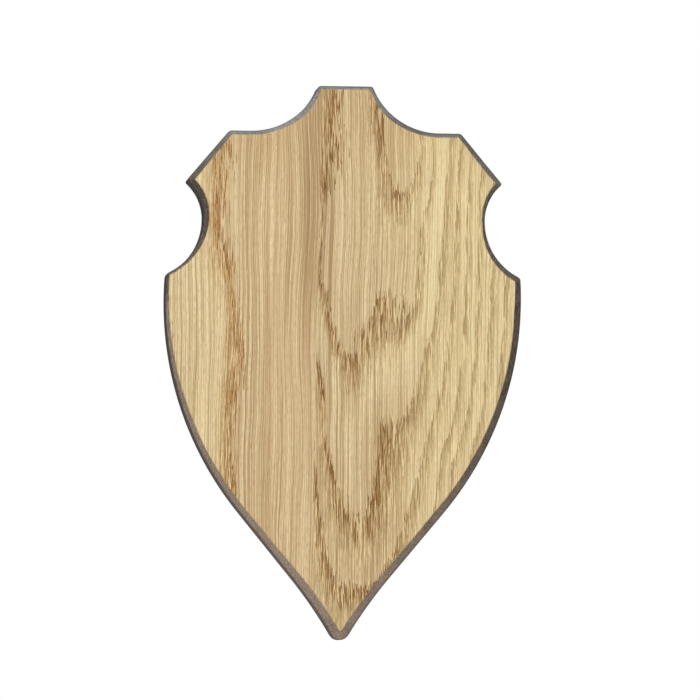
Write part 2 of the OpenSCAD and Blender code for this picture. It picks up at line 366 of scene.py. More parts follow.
def back_y(points):
    """Y of the back, with its edge just broken, and the stain that crept round at each (x, z)."""
    inside, _ = edge_distance(points)
    stain = np.clip(1 - (inside - CREEP) / CREEP_BLUR, 0, 1)
    return BACK - BACK_EDGE[0] * np.exp(-inside / BACK_EDGE[1]), stain


def row_points(offsets):
    """Rows of points at set distances inside the outline, left out where two sides' rows cross."""
    rows = []
    for offset in offsets:
        row = OUTLINE + INWARD * offset[:, None]
        inside, _ = edge_distance(row)
        rows.append(row[np.abs(inside - offset) < ROW_TRUE])
    return np.vstack(rows)


def grid_points(across, along):
    """A grid that fills the board, each second column shifted by half a step."""
    xs = np.arange(BOARD_LOW.x, BOARD_HIGH.x, across)
    zs = np.arange(TIP, TOP, along)
    x, z = np.meshgrid(xs, zs)
    z = z + along / 2 * (np.arange(len(xs)) % 2)
    return np.c_[x.ravel(), z.ravel()]


def inside_outline(points):
    """Even-odd test against the outline."""
    hit = np.zeros(len(points), bool)
    for (x0, z0), (dx, dz) in zip(OUTLINE, AHEAD):
        if dz == 0:
            continue
        spans = (points[:, 1] >= min(z0, z0 + dz)) & (points[:, 1] < max(z0, z0 + dz))
        left_of = points[spans, 0] < x0 + (points[spans, 1] - z0) * dx / dz
        hit[np.flatnonzero(spans)[left_of]] ^= True
    return hit


def joint_chain(spacing):
    """Points down the glue joint, without the two ends, which lie on the outline."""
    high, low = OUTLINE[JOINT_TOP][1], OUTLINE[JOINT_BOTTOM][1]
    z = np.linspace(high, low, int((high - low) / spacing) + 1)[1:-1]
    return np.c_[joint_x(z), z]


CHAIN_STEP = 0.7  # spacing of the points down the glue joint
CHAIN = joint_chain(CHAIN_STEP)
SCREW_LOW, SCREW_HIGH = box_mm("hanger_screw")
SCREW_Z = (SCREW_LOW.z + SCREW_HIGH.z) / 2
HOLE = np.array([polar((0, SCREW_Z), PILOT, a) for a in range(0, 360, 15)])


def triangulate(extra, hole=False):
    """Points, triangles (none across the glue joint) and where each given point went."""
    rim = len(OUTLINE)
    fixed = [OUTLINE, CHAIN] + ([HOLE] if hole else [])
    points = np.vstack(fixed + [extra])
    seam = [JOINT_TOP, *range(rim, rim + len(CHAIN)), JOINT_BOTTOM]
    edges = [(i, (i + 1) % rim) for i in range(rim)] + list(zip(seam, seam[1:]))
    if hole:
        first = rim + len(CHAIN)
        edges += [(first + i, first + (i + 1) % len(HOLE)) for i in range(len(HOLE))]
    flat = [Vector(p) for p in points]
    made, _, faces, origins, _, _ = geometry.delaunay_2d_cdt(flat, edges, [], 1, 1e-5)
    place = {}
    for i, origin in enumerate(origins):
        for o in origin:
            place[o] = i
    return np.array([tuple(v) for v in made]), np.array(faces), place


def keep_clear(points, gap):
    """Points that don't crowd the glue joint or the screw's hole."""
    clear = np.abs(points[:, 0] - joint_x(points[:, 1])) > gap
    clear &= np.linalg.norm(points - [0, SCREW_Z], axis=1) > PILOT + gap
    return points[clear]


def make_surfaces():
    """Triangles of the whole front and the whole back, finer where the edges are rubbed."""
    one = np.ones(len(OUTLINE))
    near_edge = [one * inset for inset in (0.07, 0.18, 0.42)]
    rows = row_points(near_edge + [WIDTH * 0.5] + [WIDTH + past for past in (-0.3, -0.1, 0.1, 0.4)])
    grid = grid_points(*GRID)
    grid = grid[inside_outline(grid)]
    inside, near = edge_distance(grid)
    grid = grid[inside > WIDTH[near] + 0.6]
    front = triangulate(keep_clear(np.vstack([rows, grid]), 0.12))
    grid = grid_points(*BACK_GRID)
    grid = grid[inside_outline(grid)]
    inside, _ = edge_distance(grid)
    rows = row_points([one * inset for inset in (0.12, 0.35, 0.8, 1.6)])
    back = triangulate(keep_clear(np.vstack([rows, grid[inside > 2.4]]), 0.3), hole=True)
    return front, back


def add_object(name, data):
    """A new object in the scene."""
    made = bpy.data.objects.new(name, data)
    bpy.context.scene.collection.objects.link(made)
    return made


def new_object(name, verts, faces):
    """A mesh object from places in mm."""
    mesh = bpy.data.meshes.new(name)
    mesh.from_pydata([tuple(v) for v in np.asarray(verts) * MM], [], [tuple(f) for f in faces])
    mesh.update()
    piece = add_object(name, mesh)
    mesh.shade_smooth()
    mesh.set_sharp_from_angle(angle=SHARP)
    return piece


def set_attribute(piece, name, values):
    """One number for each vertex, for the materials to read."""
    attribute = piece.data.attributes.new(name, "FLOAT", "POINT")
    attribute.data.foreach_set("value", np.asarray(values, np.float32))


def loop_of(side):
    """Rim of one stave as places in triangulate()'s points: its part of the outline, then the joint."""
    rim = len(OUTLINE)
    first, last = (JOINT_TOP, JOINT_BOTTOM) if side > 0 else (JOINT_BOTTOM, JOINT_TOP)
    part = [(first + i) % rim for i in range((last - first) % rim + 1)]
    chain = range(rim, rim + len(CHAIN))
    return part + list(reversed(chain) if side > 0 else chain), len(part)


def make_stave(name, side, front, back):
    """One stave: bevelled front, back, the walls between them, and on the right the screw's hole."""
    verts, faces, stain = [], [], []

    def add_face(surface, outward, height):
        """Add this stave's part of a surface; gives back where a given point went."""
        points, triangles, place = surface
        middle = points[triangles].mean(axis=1)
        mine = (middle[:, 0] - joint_x(middle[:, 1])) * side > 0
        if outward > 0:
            mine &= np.linalg.norm(middle - [0, SCREW_Z], axis=1) > PILOT * 0.99
        chosen = triangles[mine]
        used = np.unique(chosen)
        index = {int(old): len(verts) + i for i, old in enumerate(used)}
        y, stained = height(points[used])
        verts.extend(np.c_[points[used, 0], y, points[used, 1]])
        stain.extend(stained)
        for a, b, c in chosen:
            pa, pb, pc = points[a], points[b], points[c]
            turn = (pb[0] - pa[0]) * (pc[1] - pa[1]) - (pb[1] - pa[1]) * (pc[0] - pa[0])
            order = (a, b, c) if turn * outward < 0 else (a, c, b)
            faces.append([index[int(i)] for i in order])
        return lambda i: index[place[i]]

    def add_vertex(at, stained=0.0):
        """Add one vertex and give back its number."""
        verts.append(np.array(at))
        stain.append(stained)
        return len(verts) - 1

    front_at = add_face(front, -1, front_y)
    front_count = len(verts)
    back_at = add_face(back, 1, back_y)
    loop, outer = loop_of(side)
    rings = [[front_at(i) for i in loop]]
    for row in range(1, WALL_ROWS):
        t = row / WALL_ROWS
        ring = []
        for place, (f, b) in enumerate((front_at(i), back_at(i)) for i in loop):
            between = verts[f] * (1 - t) + verts[b] * t
            ring.append(add_vertex(between, WALL_STAIN if place < outer else 0.0))
        rings.append(ring)
    rings.append([back_at(i) for i in loop])
    n = len(loop)
    for upper, lower in zip(rings, rings[1:]):
        faces.extend([upper[i], lower[i], lower[(i + 1) % n], upper[(i + 1) % n]] for i in range(n))
    if side > 0:
        first = len(OUTLINE) + len(CHAIN)
        mouth = [back_at(first + i) for i in range(len(HOLE))]
        deep = [add_vertex((x, SCREW_LOW.y + HOLE_CONE, z)) for x, z in HOLE]
        point = add_vertex((0, SCREW_LOW.y, SCREW_Z))
        for i in range(len(HOLE)):
            j = (i + 1) % len(HOLE)
            faces.append([mouth[i], deep[i], deep[j], mouth[j]])
            faces.append([deep[i], point, deep[j]])
    verts = np.array(verts)
    openness, ring_number, brown = grain(name, verts)
    # The pores are open grooves in the front face, and its rim stays on the outline.
    face_on = np.zeros(len(verts))
    face_on[:front_count] = 1
    face_on[rings[0]] = 0
    verts[:, 1] += RELIEF * openness * face_on
    piece = new_object(name + "_wood", verts, faces)
    set_attribute(piece, "ring", ring_number)
    set_attribute(piece, "brown", brown)
    set_attribute(piece, "sway", 1.5 * grain_noise(verts, 17, 50, 8) + 0.4 * grain_noise(verts, 6, 16, 9))
    set_attribute(piece, "stain", stain)
    # The stain's paleness, with painted light on the bevel's top, bottom and left flank and painted shade
    # on its right flank.
    set_attribute(piece, "tone_blend", stain_wear_and_painted_light(verts))
    tidy = bmesh.new()
    tidy.from_mesh(piece.data)
    bmesh.ops.recalc_face_normals(tidy, faces=tidy.faces)
    tidy.to_mesh(piece.data)
    tidy.free()
    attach(piece, BODY)
    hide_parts(name)
    return piece


surfaces = make_surfaces()
stave_left = make_stave("stave_left", -1, *surfaces)
stave_right = make_stave("stave_right", 1, *surfaces)


# ---- hanger and felt discs

def bevel_edges(piece, width, segments):
    """Break a piece's sharp edges by a width in mm."""
    bevel = piece.modifiers.new("edges", "BEVEL")
    bevel.width = width * MM
    bevel.segments = segments
    bevel.limit_method = "ANGLE"
    bevel.angle_limit = math.radians(40)
    return bevel


def from_cad(name, node, body, edge):
    """A piece with a CAD node's shape and its edges rubbed round."""
    piece = add_object(name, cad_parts[node].data.copy())
    welded = bmesh.new()
    welded.from_mesh(piece.data)
    bmesh.ops.remove_doubles(welded, verts=welded.verts, dist=0.002 * MM)
    bmesh.ops.dissolve_limit(welded, angle_limit=math.radians(1), verts=welded.verts, edges=welded.edges)
    welded.to_mesh(piece.data)
    welded.free()
    piece.data.shade_smooth()
    bevel_edges(piece, edge, 3).harden_normals = True
    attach(piece, body)
    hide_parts(node)
    return piece


def between_rings(count, sides, flip=False):
    """Quads between rings of vertices that follow one another in a mesh."""
    quads = []
    for i in range(count - 1):
        for j in range(sides):
            a, b = i * sides + j, i * sides + (j + 1) % sides
            quads.append((a, a + sides, b + sides, b) if flip else (a, b, b + sides, a + sides))
    return quads


def turned(rows, sides, place, first_centre, last_centre):
    """A shape turned about Y: a ring of vertices for each row, closed by a fan at each end."""
    verts = [place(*row, math.tau * j / sides) for row in rows for j in range(sides)]
    start, end, last = len(verts), len(verts) + 1, (len(rows) - 1) * sides
    verts += [first_centre, last_centre]
    faces = between_rings(len(rows), sides, flip=True)
    for j in range(sides):
        m = (j + 1) % sides
        faces += [(j, m, start), (last + m, last + j, end)]
    return verts, faces


def tube_along(path, radius, sides):
    """Vertices and faces of a tube; radius is a number in mm or a function of (place, angle)."""
    n = len(path)
    verts = []
    across = Vector((0, 1, 0))
    for i, p in enumerate(path):
        along = (path[min(i + 1, n - 1)] - path[max(i - 1, 0)]).normalized()
        across = (across - across.dot(along) * along).normalized()
        up = along.cross(across)
        for j in range(sides):
            a = math.tau * j / sides
            r = radius(i / n, a) if callable(radius) else radius
            verts.append(p + r * (math.cos(a) * across + math.sin(a) * up))
    faces = between_rings(n, sides)
    faces.append(tuple(range(sides)))
    faces.append(tuple(range(n * sides - 1, (n - 1) * sides - 1, -1)))
    return verts, faces


RING_CORNER = 2.2  # bend radius of the wire beside the bar
RING_GAP = 0.06  # from the middle of the bar to each end of the wire
NIP = 0.08  # how much thinner the wire's nipped ends are


def make_ring():
    """The hanging ring: drawn wire bent to a D, its ends butted in the middle of the bar."""
    low, high = box_mm("hanger_ring")
    wire = (high.y - low.y) / 2
    y = (high.y + low.y) / 2
    half = (high.x - low.x) / 2 - wire
    top, bottom = high.z - wire, low.z + wire
    turn = math.pi / 36
    inner, below = half - RING_CORNER, top - RING_CORNER
    path = [Vector((x, y, top)) for x in np.linspace(RING_GAP, inner, 8)]
    path += [Vector((inner + RING_CORNER * math.sin(a), y, below + RING_CORNER * math.cos(a)))
             for a in np.arange(turn, math.pi / 2, turn * 2)]
    path += [Vector((half, y, z)) for z in np.linspace(below, bottom + half, 12)]
    path += [Vector((half * math.cos(a), y, bottom + half - half * math.sin(a)))
             for a in np.arange(turn, math.pi / 2 + turn / 2, turn)]
    path += [Vector((-p.x, p.y, p.z)) for p in reversed(path[:-1])]

    def wire_radius(place, angle):
        """A little uneven, and thinner at the nipped ends."""
        end = min(place, 1 - place) * len(path)
        nipped = NIP if end < 0.5 else 0.0
        return wire - nipped + 0.012 * noise.noise(Vector((place * 40, math.cos(angle), math.sin(angle))))

    piece = new_object("hanger_ring_wire", *tube_along(path, wire_radius, 28))
    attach(piece, RING_BODY)
    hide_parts("hanger_ring")
    return piece


HEAD_RIM, HEAD_DOME = 0.7, 1.0  # heights of the screw head's edge and of the dome on it
SEAT = SCREW_HIGH.y - HEAD_RIM - HEAD_DOME
RECESS_HALF, RECESS_REACH, RECESS_DEEP = 0.42, 1.6, 1.0  # one arm of the cross recess
RECESS_NARROWS, RECESS_SHORTENS = 0.14, 0.55  # what the arm loses at its bottom
RECESS_TURN = 0.45  # the screw was left turned by this angle
THREAD_ROOT, PITCH, RIDGE = 1.05, 1.25, 0.28  # RIDGE is a thread's half width as a share of the pitch
PLAIN_LONG, PLAIN_R = 2.2, 1.3  # the shank's plain part under the head
POINT_LONG = 3.0


def cut_recess(head):
    """The cross recess of a screw head."""
    made = bmesh.new()
    for turn in (0, math.pi / 2):
        arm = bmesh.ops.create_cube(made, size=1)["verts"]
        for v in arm:
            deep = v.co.y < 0
            v.co.x *= 2 * (RECESS_REACH - (RECESS_SHORTENS if deep else 0.0))
            v.co.z *= 2 * (RECESS_HALF - (RECESS_NARROWS if deep else 0.0))
            v.co.y *= 2 * RECESS_DEEP
        bmesh.ops.rotate(made, verts=arm, matrix=Matrix.Rotation(turn + RECESS_TURN, 3, "Y"))
    for v in made.verts:
        v.co = (v.co + Vector((0, SCREW_HIGH.y, SCREW_Z))) * MM
    cutter = add_object("recess", bpy.data.meshes.new("recess"))
    made.to_mesh(cutter.data)
    made.free()
    cut = head.modifiers.new("recess", "BOOLEAN")
    cut.object = cutter
    cut.solver = "EXACT"
    cut.use_self = True
    bpy.context.view_layer.update()
    head.data = bpy.data.meshes.new_from_object(head.evaluated_get(bpy.context.evaluated_depsgraph_get()))
    head.modifiers.clear()
    bpy.data.objects.remove(cutter)
    head.data.shade_smooth()


def make_screw_head():
    """A pan head: a flat seat, a short edge and a dome."""
    r = (SCREW_HIGH.x - SCREW_LOW.x) / 2
    rim = SEAT + HEAD_RIM
    rows = [(SEAT, r - 0.12), (SEAT + 0.06, r - 0.03), (SEAT + 0.2, r), (rim - 0.1, r), (rim, r - 0.06)]
    for i in range(1, 20):
        a = math.pi / 2 * i / 20
        rows.append((rim + HEAD_DOME * math.sin(a), (r - 0.06) * math.cos(a)))

    def place(y, row_r, a):
        """A point of the head."""
        return [row_r * math.cos(a), y, SCREW_Z + row_r * math.sin(a)]

    shape = turned(rows, 96, place, [0, SEAT, SCREW_Z], [0, SCREW_HIGH.y, SCREW_Z])
    head = new_object("hanger_screw_head", *shape)
    cut_recess(head)
    bevel_edges(head, 0.05, 2)
    return head


def make_screw_thread():
    """The shank: plain under the head, then a rolled thread down to the point."""
    length = SEAT - SCREW_LOW.y
    turns, steps = 24, int(length / 0.1)
    verts = []
    for i in range(steps + 1):
        run = length * i / steps
        taper = min(1.0, (length - run) / POINT_LONG * 0.9 + 0.1)
        for j in range(turns):
            phase = (run / PITCH + j / turns) % 1.0
            ridge = max(0.0, 1 - abs(phase - 0.5) / RIDGE)
            r = (THREAD_ROOT + (PILOT - THREAD_ROOT) * ridge) * taper if run > PLAIN_LONG else PLAIN_R
            a = math.tau * j / turns
            verts.append([r * math.cos(a), SEAT - run, SCREW_Z + r * math.sin(a)])
    faces = between_rings(steps + 1, turns)
    faces.append(tuple(range(turns - 1, -1, -1)))
    faces.append(tuple(range(steps * turns, (steps + 1) * turns)))
    return new_object("hanger_screw_thread", verts, faces)


def make_screw():
    """Both pieces of the screw, built in place of the CAD node, which is hidden."""
    pieces = [make_screw_head(), make_screw_thread()]
    for piece in pieces:
        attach(piece, BODY)
    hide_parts("hanger_screw")
    return pieces


FIBRES = 420
FIBRE_R, FIBRE_LONG = 0.022, 1.6  # FIBRE_LONG multiplies its rise and its reach sideways
FIBRE_RISE_SIDE, FIBRE_RISE_FACE, FIBRE_ASIDE = 0.10, 0.05, 0.42
WALL_GAP = 0.03  # no fibre comes nearer to the wall than this


def felt_profile(r, thick):
    """(depth, radius) from near the middle of the glued face, round the rim, to the other face."""
    profile = [(0.02, rr) for rr in np.arange(0.4, r - 0.5, 0.4)]
    profile += [(0.02, r - 0.35), (0.12, r - 0.15), (0.35, r - 0.08)]
    profile += [(t, r - 0.08) for t in np.linspace(0.7, thick - 0.7, 7)]
    profile += [(thick - 0.45, r - 0.1), (thick - 0.2, r - 0.2), (thick - 0.06, r - 0.4)]
    return profile + [(thick, rr) for rr in np.arange(r - 0.7, 0.3, -0.35)]


def felt_fibre(rng, low, high, middle, r):
    """One loose fibre, on the rim or on the face that meets the wall."""
    a = rng.uniform(0, math.tau)
    outward = Vector((math.cos(a), 0, math.sin(a)))
    if rng.random() < 0.5:
        start = middle + outward * (r - 0.15)
        start.y = low.y + rng.uniform(0.4, high.y - low.y - 0.3)
        lift = outward * FIBRE_RISE_SIDE
        aside = Vector(rng.normal(size=3))
    else:
        start = middle + outward * (r - 0.5) * math.sqrt(rng.random())
        start.y = high.y - 0.16
        lift = Vector((0, FIBRE_RISE_FACE, 0))
        aside = Vector(rng.normal(size=3)) * Vector((1, 0, 1))
    aside = aside.normalized() * FIBRE_ASIDE
    path = [start + (lift * math.sin(t * math.pi) + aside * t) * FIBRE_LONG for t in np.linspace(0, 1, 6)]
    for p in path:
        p.y = min(p.y, high.y - WALL_GAP)
    return tube_along(path, FIBRE_R, 4)


def make_felt(node, seed):
    """A punched disc of pressed wool felt, with a furry rim."""
    low, high = box_mm(node)
    middle, r = (low + high) / 2, (high.x - low.x) / 2
    rng = np.random.default_rng(seed)

    def place(y, rr, a):
        """A point of the disc, lumpy except where it is glued down."""
        x, z = rr * math.cos(a), rr * math.sin(a)
        lump = noise.noise(Vector((x * 1.8, y * 1.8, z * 1.8 + seed)))
        lump += 0.6 * noise.noise(Vector((x * 4.5, y * 4.5, z * 4.5 + seed)))
        loose = min(1.0, y / 0.5)
        out = 1 + 0.07 * lump * loose / max(rr, 1)
        return [middle.x + x * out, low.y + y + (0.05 * lump - 0.05) * loose, middle.z + z * out]

    centres = [middle.x, low.y + 0.02, middle.z], [middle.x, high.y - 0.05, middle.z]
    verts, faces = turned(felt_profile(r, high.y - low.y), 120, place, *centres)
    for _ in range(FIBRES):
        tube_verts, tube_faces = felt_fibre(rng, low, high, middle, r)
        base = len(verts)
        verts.extend(tube_verts)
        faces.extend(tuple(base + k for k in f) for f in tube_faces)
    piece = new_object(node + "_wool", verts, faces)
    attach(piece, BODY)
    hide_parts(node)
    return piece


strap = from_cad("hanger_strap_plate", "hanger_strap", BODY, 0.14)
ring = make_ring()
screw = make_screw()
felt_nodes = ("felt_disc_left", "felt_disc_right", "felt_disc_bottom")
felts = [make_felt(node, seed) for seed, node in enumerate(felt_nodes)]


# ---- materials

def linear(*srgb):
    """A colour given as 0 to 255 display values, as the shader wants it."""
    return tuple(((c / 255 + 0.055) / 1.055) ** 2.4 if c > 10 else c / 255 / 12.92 for c in srgb) + (1,)


class Nodes:
    """Short names for building one material's node tree."""

    def __init__(self, name):
        self.material = bpy.data.materials.new(name)
        self.material.use_nodes = True
        self.tree = self.material.node_tree
        self.shader = self.tree.nodes["Principled BSDF"]
        self.coordinates = self.new("ShaderNodeTexCoord").outputs["Object"]

    def new(self, kind, **settings):
        """A node with these settings."""
        made = self.tree.nodes.new(kind)
        for key, value in settings.items():
            setattr(made, key, value)
        return made

    def put(self, value, socket):
        """Link a node's output to a socket, or set the socket to a plain value."""
        if isinstance(value, bpy.types.NodeSocket):
            self.tree.links.new(value, socket)
        else:
            socket.default_value = value

    def bend(self, sideways):
        """Shift every later texture sideways by a number of mm that varies from place to place."""
        aside = self.new("ShaderNodeCombineXYZ")
        self.put(self.math("MULTIPLY", sideways, MM), aside.inputs["X"])
        added = self.new("ShaderNodeVectorMath", operation="ADD")
        self.put(self.coordinates, added.inputs[0])
        self.put(aside.outputs["Vector"], added.inputs[1])
        self.coordinates = added.outputs["Vector"]

    def attribute(self, name):
        """A number that the mesh carries."""
        return self.new("ShaderNodeAttribute", attribute_name=name).outputs["Fac"]

    def place(self, scale, seed=0.0):
        """Object coordinates in mm, divided by a grain size in each direction."""
        mapping = self.new("ShaderNodeMapping")
        mapping.inputs["Location"].default_value = (seed, 0, seed)
        self.put(self.coordinates, mapping.inputs["Vector"])
        mapping.inputs["Scale"].default_value = [1 / MM / s for s in scale]
        return mapping.outputs["Vector"]

    def noise(self, size, detail=2.0, rough=0.5, warp=0.0, seed=0.0):
        """Soft noise, 0 to 1, with a grain of this size in mm in each direction."""
        made = self.new("ShaderNodeTexNoise")
        for name, value in (("Vector", self.place(size, seed)), ("Scale", 1.0), ("Detail", detail),
                            ("Roughness", rough), ("Distortion", warp)):
            self.put(value, made.inputs[name])
        return made.outputs["Fac"]

    def math(self, operation, a, b=0.0):
        """The result of one sum."""
        made = self.new("ShaderNodeMath", operation=operation)
        self.put(a, made.inputs[0])
        self.put(b, made.inputs[1])
        return made.outputs[0]

    def span(self, value, low, high, out_low=0.0, out_high=1.0):
        """value carried smoothly from low..high to out_low..out_high, and held at the ends."""
        made = self.new("ShaderNodeMapRange", interpolation_type="SMOOTHSTEP")
        for x, socket in zip((value, low, high, out_low, out_high), made.inputs):
            self.put(x, socket)
        return made.outputs["Result"]

    def mix(self, amount, a, b, blend="MIX"):
        """Colour a with an amount of colour b."""
        made = self.new("ShaderNodeMix", data_type="RGBA", blend_type=blend)
        self.put(amount, made.inputs[0])
        self.put(a, made.inputs[6])
        self.put(b, made.inputs[7])
        return made.outputs[2]

    def layers(self, colour, layers):
        """A colour with each (amount, display colour) laid over it in turn."""
        for amount, over in layers:
            colour = self.mix(amount, colour, linear(*over))
        return colour

    def bump(self, height, distance, strength=1.0, after=None):
        """The normal that a height gives; distance in mm, on top of the normal in after."""
        made = self.new("ShaderNodeBump")
        made.inputs["Distance"].default_value = distance * MM
        made.inputs["Strength"].default_value = strength
        self.put(height, made.inputs["Height"])
        if after:
            self.put(after, made.inputs["Normal"])
        return made.outputs["Normal"]

    def finish(self, **sockets):
        """The material, once the shader's varying sockets are linked."""
        for name, value in sockets.items():
            self.put(value, self.shader.inputs[name.replace("_", " ")])
        return self.material


JAGS = (1.3, 0.7)  # weights of the coarse and the fine raggedness where the pores start
JAG_REACH = 1.7


def oak_pores(m, ring, shift):
    """Where in its ring a place lies, how early in it, and how much of a pore is there, each 0 to 1."""
    jag = m.noise((0.55, 0.55, 14), detail=1, seed=shift)
    fine_jag = m.noise((0.3, 0.3, 6), detail=1, seed=shift)
    columns = m.noise((0.31, 0.31, 9), detail=1, rough=0.6, seed=shift)
    # Pores open suddenly at each ring's line, some columns of them sooner, and thin out behind it.
    jags = m.math("ADD", m.math("MULTIPLY", jag, JAGS[0]), m.math("MULTIPLY", fine_jag, JAGS[1]))
    late = m.math("MULTIPLY", m.math("SUBTRACT", jags, sum(JAGS) / 2), RAGGED * JAG_REACH)
    season = m.math("FRACT", m.math("ADD", ring, late))
    (n0, pores), *steps = PORES.items()
    for n1, share in steps:
        pores = m.span(ring, n0, n1, pores, share)
        n0 = n1
    into = m.math("DIVIDE", season, pores)
    early = m.math("EXPONENT", m.math("MULTIPLY", m.math("POWER", into, 1.5), -1))
    return season, early, m.math("MULTIPLY", early, m.span(columns, 0.42, 0.5)), columns


def oak_material(name, shift, tint, pore):
    """Oiled oak, its rings, pores and fibres, with the grey-brown stain on the bevel and the walls, and
    painted light and shade on that stain.
    """
    m = Nodes(name)
    ring, brown, stain, tone_blend = (m.attribute(a) for a in ("ring", "brown", "stain", "tone_blend"))
    m.bend(m.attribute("sway"))
    season, early, streak, columns = oak_pores(m, ring, shift)
    vessels = m.noise((0.32, 0.32, 1.8), detail=1, seed=shift)
    lines = m.noise((0.45, 0.45, 140), detail=1, rough=0.6, seed=shift)
    threads = m.noise((0.28, 0.28, 90), detail=1.5, rough=0.6, seed=shift)
    fibre = m.noise((0.25, 0.25, 3), detail=2, seed=shift)
    bands = m.noise((3, 3, 90), detail=3, seed=shift)
    cloud = m.noise((16, 16, 60), detail=2, seed=shift)
    where = m.new("ShaderNodeSeparateXYZ")
    m.put(m.coordinates, where.inputs[0])
    x, z = where.outputs["X"], where.outputs["Z"]
    between_pores = m.math("SUBTRACT", early, streak)

    light = m.mix(m.span(season, 0.3, 0.85), linear(255, 236, 188), linear(223, 195, 153))
    light = m.layers(light, (
        # Broad shades: bands, clouds, pale right flank, brown neck, pale left flank, strip.
        (m.span(bands, 0.35, 0.65, 0.0, 0.35), (212, 178, 130)),
        (m.span(cloud, 0.35, 0.65, 0.0, 0.3), (208, 180, 142)),
        (m.span(x, 0.015, 0.045, 0.0, 0.4), (255, 238, 190)),
        (m.span(z, -0.025, 0.012, 0.0, 0.45), (196, 158, 110)),
        (m.span(x, -0.056, -0.046, 0.35, 0.0), (255, 238, 184)),
        (brown, (172, 140, 103)),
        # Long fine lines.
        (m.span(lines, 0.53, 0.6, 0.0, 0.55), (160, 128, 80)),
        (m.span(threads, 0.53, 0.6, 0.0, 0.5), (255, 240, 200)),
        (m.span(threads, 0.4, 0.46, 0.52, 0.0), (152, 120, 74)),
        # The early wood, pale between its pores.
        (m.math("MULTIPLY", early, 0.6), (206, 155, 85)),
        (m.math("MULTIPLY", between_pores, 0.4), (255, 236, 188)),
    ))
    light = m.mix(streak, light, pore)
    light = m.layers(light, (
        (m.math("MULTIPLY", streak, m.span(vessels, 0.48, 0.6, 0.0, 0.8)), (102, 66, 28)),
        (m.span(fibre, 0.5, 0.62, 0.0, 0.32), (172, 138, 90)),
        (m.span(x, 0.012, 0.036, 0.0, 0.26), (255, 235, 178)),
    ))
    light = m.mix(1.0, light, tint, blend="MULTIPLY")

    # Painted light on the bevel's stain: warm brown low down is a painted reflection of warm light from
    # below, neutral grey higher up is painted light from the top.
    pale = m.mix(m.span(z, -0.045, 0.0), linear(176, 154, 137), linear(154, 153, 149))
    # The stain goes from dark to that pale with its paleness, which carries uneven wear and painted light
    # and shade.
    dark = m.mix(m.span(tone_blend, 0.0, 1.0), linear(82, 73, 67), pale)
    dark = m.layers(dark, (
        (m.span(columns, 0.5, 0.62, 0.0, 0.45), (70, 60, 52)),
        (m.span(fibre, 0.5, 0.62, 0.0, 0.42), (176, 160, 144)),
        (m.span(vessels, 0.5, 0.6, 0.0, 0.4), (62, 52, 46)),
        # Darker still on the walls and on the outermost edge; on the outermost edge this is painted shade.
        (m.span(stain, 1.1, 1.6, 0.0, 0.85), (64, 57, 51)),
    ))
    # The stain ends in a ragged line and bled a little into the pale wood beside it.
    fringe = m.noise((0.5, 0.5, 3.5), detail=2)
    ragged = m.math("ADD", stain, m.math("MULTIPLY", m.math("SUBTRACT", fringe, 0.5), 0.7))
    bleed = m.math("MULTIPLY", m.span(ragged, -0.1, 0.4), 0.4)
    light = m.mix(bleed, light, linear(165, 126, 84))
    colour = m.mix(m.span(ragged, 0.3, 0.7), light, dark)

    rough = m.math("ADD", m.span(streak, 0, 1, 0.5, 0.75), m.math("MULTIPLY", fibre, 0.1))
    # The stain fills the open grain on the walls.
    open_grain = m.span(stain, 1.0, 1.6, 1.0, 0.12)
    relief = m.math("SUBTRACT", m.math("MULTIPLY", threads, 0.5), streak)
    normal = m.bump(m.math("MULTIPLY", relief, open_grain), 0.04, 0.8)
    normal = m.bump(m.math("MULTIPLY", fibre, open_grain), 0.015, 0.6, after=normal)
    m.shader.inputs["Specular IOR Level"].default_value = 0.3
    return m.finish(Base_Color=colour, Roughness=rough, Normal=normal)


def metal_material(name, colour, dull, roughness, lines):
    """Plated steel: cloudy zinc, fine draw lines and a few dull spots."""
    m = Nodes(name)
    cloud = m.noise((1.6, 1.6, 1.6), detail=4, rough=0.6)
    spots = m.noise((0.25, 0.25, 0.25), detail=2)
    drawn = m.noise(lines, detail=2)
    tone_blend = m.span(cloud, 0.35, 0.7)
    base = m.mix(tone_blend, linear(*colour), linear(*dull))
    base = m.mix(m.span(spots, 0.62, 0.75, 0.0, 0.5), base, linear(96, 92, 86))
    patchy = m.span(cloud, 0.3, 0.7, roughness, roughness + 0.18)
    rough = m.math("ADD", patchy, m.span(drawn, 0.3, 0.7, 0.0, 0.08))
    normal = m.bump(drawn, 0.012, 0.5)
    normal = m.bump(cloud, 0.03, 0.3, after=normal)
    m.shader.inputs["Metallic"].default_value = 1.0
    return m.finish(Base_Color=base, Roughness=rough, Normal=normal)


def felt_material():
    """Pressed brown wool felt."""
    m = Nodes("wool_felt")
    tangle = m.noise((0.35, 0.35, 0.35), detail=4, rough=0.7, warp=1.5)
    clump = m.noise((1.8, 1.8, 1.8), detail=2)
    colour = m.mix(m.span(tangle, 0.3, 0.7), linear(84, 66, 50), linear(118, 98, 76))
    colour = m.mix(m.span(clump, 0.4, 0.7, 0.0, 0.4), colour, linear(70, 55, 42))
    m.shader.inputs["Sheen Weight"].default_value = 0.5
    m.shader.inputs["Sheen Roughness"].default_value = 0.6
    m.shader.inputs["Specular IOR Level"].default_value = 0.1
    normal = m.bump(tangle, 0.12, 0.9)
    return m.finish(Base_Color=colour, Roughness=m.span(tangle, 0, 1, 0.85, 1.0), Normal=normal)


def floor_material():
    """Matt pale board with faint specks."""
    m = Nodes("pale_floor")
    speck = m.noise((3, 3, 3), detail=3)
    colour = m.mix(m.span(speck, 0.3, 0.7), linear(236, 232, 226), linear(231, 226, 219))
    return m.finish(Base_Color=colour, Roughness=0.8)


def paint(pieces, material):
    """Give every piece this one material."""
    for piece in pieces:
        piece.data.materials.clear()
        piece.data.materials.append(material)


